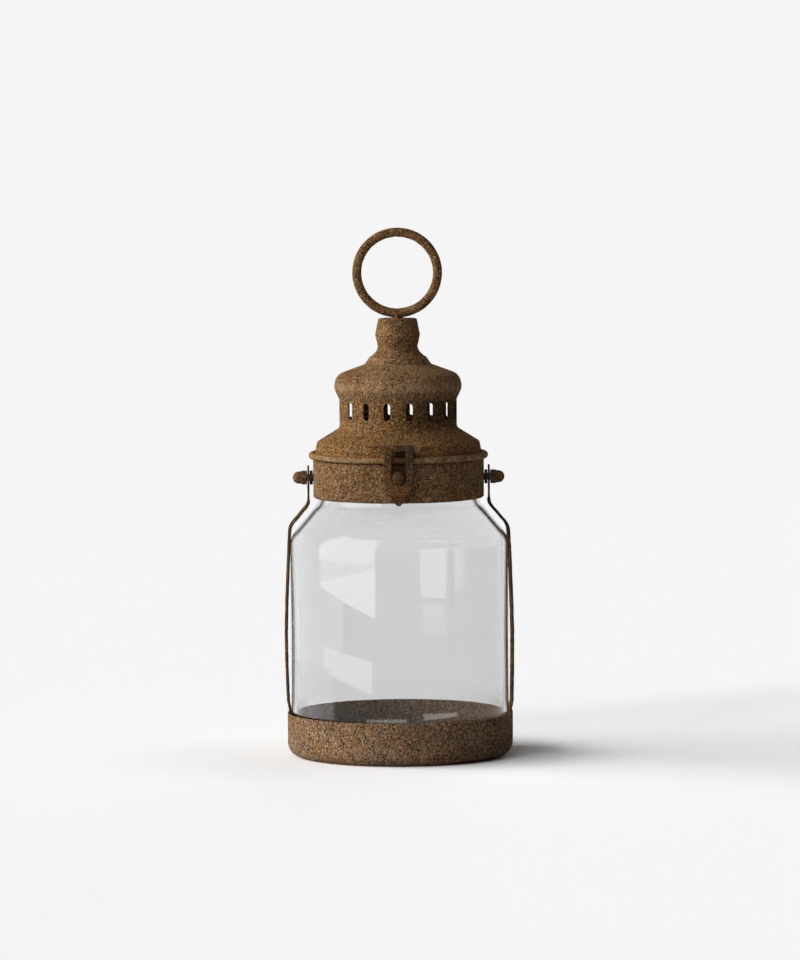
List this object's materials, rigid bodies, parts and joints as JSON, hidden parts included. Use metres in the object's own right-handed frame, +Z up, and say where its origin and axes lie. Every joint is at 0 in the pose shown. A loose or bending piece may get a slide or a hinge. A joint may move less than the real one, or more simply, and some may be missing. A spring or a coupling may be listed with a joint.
{
  "type": "lantern",
  "caption": "Rust-coated metal lantern with a clear glass jar in a base tray, side straps, a hinged lid with a slotted gallery and dome, a front hasp and an upright carry ring.",
  "frame": {"origin": "centre of the base tray's flat underside, where the lantern stands", "axes": "+Z up the lantern's axis, -Y to the front with the hasp, +Y to the lid's hinge, the straps at -X and +X"},
  "size_m": [0.1308, 0.1286, 0.3],
  "materials": {
    "rust_coat": "matt granular rust-textured brown coat, tan where lit, with dark pits and orange patches",
    "clear_glass": "clear, smooth, faintly grey",
    "black_steel": "blackened, dull",
    "plain_steel": "uncoated steel, dull, slightly tarnished"
  },
  "bodies": {
    "base": {"base_tray": "rust_coat", "glass_jar": "clear_glass", "collar_band": "rust_coat", "strap_right": "rust_coat", "strap_left": "rust_coat", "bolt_right": "plain_steel", "bolt_left": "plain_steel", "spacer_nut_right": "black_steel", "spacer_nut_left": "black_steel", "cap_nut_right": "rust_coat", "cap_nut_left": "rust_coat", "latch_stud": "rust_coat", "hinge_plate": "rust_coat", "hinge_rivet_lower": "rust_coat", "hinge_rivet_upper": "rust_coat", "hinge_pin": "rust_coat"},
    "lid": {"lid_skirt": "rust_coat", "lid_rim_wire": "plain_steel", "hinge_lug": "rust_coat", "latch_lug": "rust_coat", "hasp_pin": "rust_coat", "vent_gallery": "rust_coat", "dome_cap": "rust_coat", "finial": "rust_coat", "carry_ring": "rust_coat", "ring_washer": "plain_steel", "ring_nut": "plain_steel"},
    "hasp": {"hasp": "rust_coat"}
  },
  "joints": [
    {"name": "lid_hinge", "type": "hinge", "parent": "base", "child": "lid", "pos_m": [0, 0.0508, 0.178], "axis": [-1, 0, 0], "range_deg": [0, 105]},
    {"name": "hasp_hinge", "type": "hinge", "parent": "lid", "child": "hasp", "pos_m": [0, -0.0508, 0.178], "axis": [-1, 0, 0], "range_deg": [0, 120]}
  ]
}
